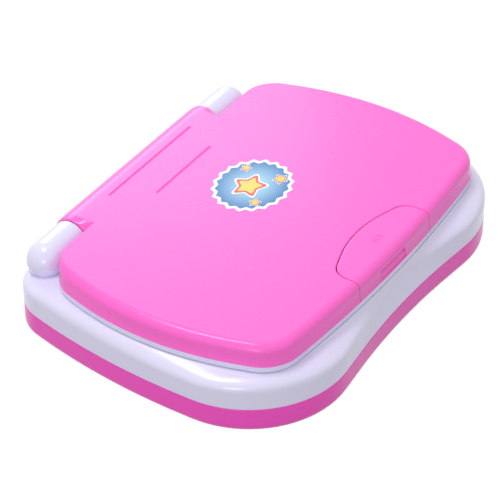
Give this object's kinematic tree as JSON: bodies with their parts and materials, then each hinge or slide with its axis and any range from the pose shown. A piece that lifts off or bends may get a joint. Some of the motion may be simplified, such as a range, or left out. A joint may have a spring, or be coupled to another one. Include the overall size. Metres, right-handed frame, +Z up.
{
  "type": "toy laptop computer",
  "caption": "Clamshell toy laptop: glossy lid on a barrel hinge, rocker latch, keyboard with separate sprung keys, small screen in the lid.",
  "frame": {"origin": "on the table, under the middle of the case", "axes": "+Z up, +X to the user's right along the hinge, -Y towards the latch at the front"},
  "size_m": [0.26, 0.1869, 0.0508],
  "materials": {
    "pink_case": "moulded, satin",
    "pink_lid": "glossy",
    "white_shell": "glossy",
    "key_cap": "fine matt",
    "space_cap": "fine matt",
    "button_red": "glossy",
    "button_yellow": "glossy",
    "button_green": "glossy",
    "button_blue": "glossy",
    "switch_knob": "fine matt",
    "steel": "plated",
    "foot_rubber": "matt",
    "silicone": "matt",
    "circuit_board": "solder mask",
    "cell_wrap": "printed sleeve",
    "speaker_black": "matt",
    "bush_plastic": "matt",
    "wire_sleeve": "satin",
    "window": "clear",
    "display": "grey-green liquid crystal",
    "badge_print": "printed sticker"
  },
  "bodies": {
    "base": {"lower_case": "pink_case", "upper_case": "white_shell", "rubber_feet": "foot_rubber", "case_screws": "steel", "battery_cells": "cell_wrap", "battery_contacts": "steel", "main_board": "circuit_board", "board_screws": "steel", "key_mat": "silicone", "speaker": "speaker_black", "switch_housing": "steel", "hinge_bush": "bush_plastic", "hinge_pin": "steel", "base_wires": "wire_sleeve"},
    "lid": {"lid_shell": "pink_lid", "lid_frame": "white_shell", "screen_window": "window", "display_panel": "display", "lid_board": "circuit_board", "lid_board_screws": "steel", "lid_screws": "steel", "badge": "badge_print", "lid_wires": "wire_sleeve", "latch_pin": "steel", "latch_spring": "steel"},
    "latch": {"latch": "pink_lid"},
    "battery_door": {"battery_door": "pink_case", "battery_door_screw": "steel"},
    "power_switch": {"power_switch": "switch_knob"},
    "key_Q": {"key_Q": "key_cap"},
    "key_W": {"key_W": "key_cap"},
    "key_E": {"key_E": "key_cap"},
    "key_R": {"key_R": "key_cap"},
    "key_T": {"key_T": "key_cap"},
    "key_Y": {"key_Y": "key_cap"},
    "key_U": {"key_U": "key_cap"},
    "key_I": {"key_I": "key_cap"},
    "key_O": {"key_O": "key_cap"},
    "key_P": {"key_P": "key_cap"},
    "key_A": {"key_A": "key_cap"},
    "key_S": {"key_S": "key_cap"},
    "key_D": {"key_D": "key_cap"},
    "key_F": {"key_F": "key_cap"},
    "key_G": {"key_G": "key_cap"},
    "key_H": {"key_H": "key_cap"},
    "key_J": {"key_J": "key_cap"},
    "key_K": {"key_K": "key_cap"},
    "key_L": {"key_L": "key_cap"},
    "key_Z": {"key_Z": "key_cap"},
    "key_X": {"key_X": "key_cap"},
    "key_C": {"key_C": "key_cap"},
    "key_V": {"key_V": "key_cap"},
    "key_B": {"key_B": "key_cap"},
    "key_N": {"key_N": "key_cap"},
    "key_M": {"key_M": "key_cap"},
    "key_space": {"key_space": "space_cap"},
    "button_red": {"button_red": "button_red"},
    "button_yellow": {"button_yellow": "button_yellow"},
    "button_green": {"button_green": "button_green"},
    "button_blue": {"button_blue": "button_blue"}
  },
  "joints": [
    {"name": "lid_hinge", "type": "hinge", "parent": "base", "child": "lid", "pos_m": [0, 0.081, 0.0385], "axis": [-1, 0, 0], "range_deg": [0, 110]},
    {"name": "latch_rock", "type": "hinge", "parent": "lid", "child": "latch", "pos_m": [0, -0.0768, 0.0452], "axis": [-1, 0, 0], "range_deg": [0, 5], "stiffness_Nm_per_rad": 0.3, "springref_deg": -5.73, "deforming": ["latch_spring"]},
    {"name": "power_slide", "type": "slide", "parent": "base", "child": "power_switch", "axis": [1, 0, 0], "range_m": [0, 0.005]},
    {"name": "battery_door_swing", "type": "hinge", "parent": "base", "child": "battery_door", "pos_m": [-0.02933, 0.008, 0.00208], "axis": [0, 1, 0], "range_deg": [0, 90]},
    {"name": "key_space_press", "type": "slide", "parent": "base", "child": "key_space", "axis": [0, 0, -1], "range_m": [0, 0.0012], "stiffness_N_per_m": 150, "springref_m": -0.002},
    {"name": "button_red_press", "type": "slide", "parent": "base", "child": "button_red", "axis": [0, 0, -1], "range_m": [0, 0.0012], "stiffness_N_per_m": 150, "springref_m": -0.002},
    {"name": "button_yellow_press", "type": "slide", "parent": "base", "child": "button_yellow", "axis": [0, 0, -1], "range_m": [0, 0.0012], "stiffness_N_per_m": 150, "springref_m": -0.002},
    {"name": "button_green_press", "type": "slide", "parent": "base", "child": "button_green", "axis": [0, 0, -1], "range_m": [0, 0.0012], "stiffness_N_per_m": 150, "springref_m": -0.002},
    {"name": "button_blue_press", "type": "slide", "parent": "base", "child": "button_blue", "axis": [0, 0, -1], "range_m": [0, 0.0012], "stiffness_N_per_m": 150, "springref_m": -0.002},
    {"name": "key_Q_press", "type": "slide", "parent": "base", "child": "key_Q", "axis": [0, 0, -1], "range_m": [0, 0.0012], "stiffness_N_per_m": 150, "springref_m": -0.002},
    {"name": "key_W_press", "type": "slide", "parent": "base", "child": "key_W", "axis": [0, 0, -1], "range_m": [0, 0.0012], "stiffness_N_per_m": 150, "springref_m": -0.002},
    {"name": "key_E_press", "type": "slide", "parent": "base", "child": "key_E", "axis": [0, 0, -1], "range_m": [0, 0.0012], "stiffness_N_per_m": 150, "springref_m": -0.002},
    {"name": "key_R_press", "type": "slide", "parent": "base", "child": "key_R", "axis": [0, 0, -1], "range_m": [0, 0.0012], "stiffness_N_per_m": 150, "springref_m": -0.002},
    {"name": "key_T_press", "type": "slide", "parent": "base", "child": "key_T", "axis": [0, 0, -1], "range_m": [0, 0.0012], "stiffness_N_per_m": 150, "springref_m": -0.002},
    {"name": "key_Y_press", "type": "slide", "parent": "base", "child": "key_Y", "axis": [0, 0, -1], "range_m": [0, 0.0012], "stiffness_N_per_m": 150, "springref_m": -0.002},
    {"name": "key_U_press", "type": "slide", "parent": "base", "child": "key_U", "axis": [0, 0, -1], "range_m": [0, 0.0012], "stiffness_N_per_m": 150, "springref_m": -0.002},
    {"name": "key_I_press", "type": "slide", "parent": "base", "child": "key_I", "axis": [0, 0, -1], "range_m": [0, 0.0012], "stiffness_N_per_m": 150, "springref_m": -0.002},
    {"name": "key_O_press", "type": "slide", "parent": "base", "child": "key_O", "axis": [0, 0, -1], "range_m": [0, 0.0012], "stiffness_N_per_m": 150, "springref_m": -0.002},
    {"name": "key_P_press", "type": "slide", "parent": "base", "child": "key_P", "axis": [0, 0, -1], "range_m": [0, 0.0012], "stiffness_N_per_m": 150, "springref_m": -0.002},
    {"name": "key_A_press", "type": "slide", "parent": "base", "child": "key_A", "axis": [0, 0, -1], "range_m": [0, 0.0012], "stiffness_N_per_m": 150, "springref_m": -0.002},
    {"name": "key_S_press", "type": "slide", "parent": "base", "child": "key_S", "axis": [0, 0, -1], "range_m": [0, 0.0012], "stiffness_N_per_m": 150, "springref_m": -0.002},
    {"name": "key_D_press", "type": "slide", "parent": "base", "child": "key_D", "axis": [0, 0, -1], "range_m": [0, 0.0012], "stiffness_N_per_m": 150, "springref_m": -0.002},
    {"name": "key_F_press", "type": "slide", "parent": "base", "child": "key_F", "axis": [0, 0, -1], "range_m": [0, 0.0012], "stiffness_N_per_m": 150, "springref_m": -0.002},
    {"name": "key_G_press", "type": "slide", "parent": "base", "child": "key_G", "axis": [0, 0, -1], "range_m": [0, 0.0012], "stiffness_N_per_m": 150, "springref_m": -0.002},
    {"name": "key_H_press", "type": "slide", "parent": "base", "child": "key_H", "axis": [0, 0, -1], "range_m": [0, 0.0012], "stiffness_N_per_m": 150, "springref_m": -0.002},
    {"name": "key_J_press", "type": "slide", "parent": "base", "child": "key_J", "axis": [0, 0, -1], "range_m": [0, 0.0012], "stiffness_N_per_m": 150, "springref_m": -0.002},
    {"name": "key_K_press", "type": "slide", "parent": "base", "child": "key_K", "axis": [0, 0, -1], "range_m": [0, 0.0012], "stiffness_N_per_m": 150, "springref_m": -0.002},
    {"name": "key_L_press", "type": "slide", "parent": "base", "child": "key_L", "axis": [0, 0, -1], "range_m": [0, 0.0012], "stiffness_N_per_m": 150, "springref_m": -0.002},
    {"name": "key_Z_press", "type": "slide", "parent": "base", "child": "key_Z", "axis": [0, 0, -1], "range_m": [0, 0.0012], "stiffness_N_per_m": 150, "springref_m": -0.002},
    {"name": "key_X_press", "type": "slide", "parent": "base", "child": "key_X", "axis": [0, 0, -1], "range_m": [0, 0.0012], "stiffness_N_per_m": 150, "springref_m": -0.002},
    {"name": "key_C_press", "type": "slide", "parent": "base", "child": "key_C", "axis": [0, 0, -1], "range_m": [0, 0.0012], "stiffness_N_per_m": 150, "springref_m": -0.002},
    {"name": "key_V_press", "type": "slide", "parent": "base", "child": "key_V", "axis": [0, 0, -1], "range_m": [0, 0.0012], "stiffness_N_per_m": 150, "springref_m": -0.002},
    {"name": "key_B_press", "type": "slide", "parent": "base", "child": "key_B", "axis": [0, 0, -1], "range_m": [0, 0.0012], "stiffness_N_per_m": 150, "springref_m": -0.002},
    {"name": "key_N_press", "type": "slide", "parent": "base", "child": "key_N", "axis": [0, 0, -1], "range_m": [0, 0.0012], "stiffness_N_per_m": 150, "springref_m": -0.002},
    {"name": "key_M_press", "type": "slide", "parent": "base", "child": "key_M", "axis": [0, 0, -1], "range_m": [0, 0.0012], "stiffness_N_per_m": 150, "springref_m": -0.002}
  ]
}
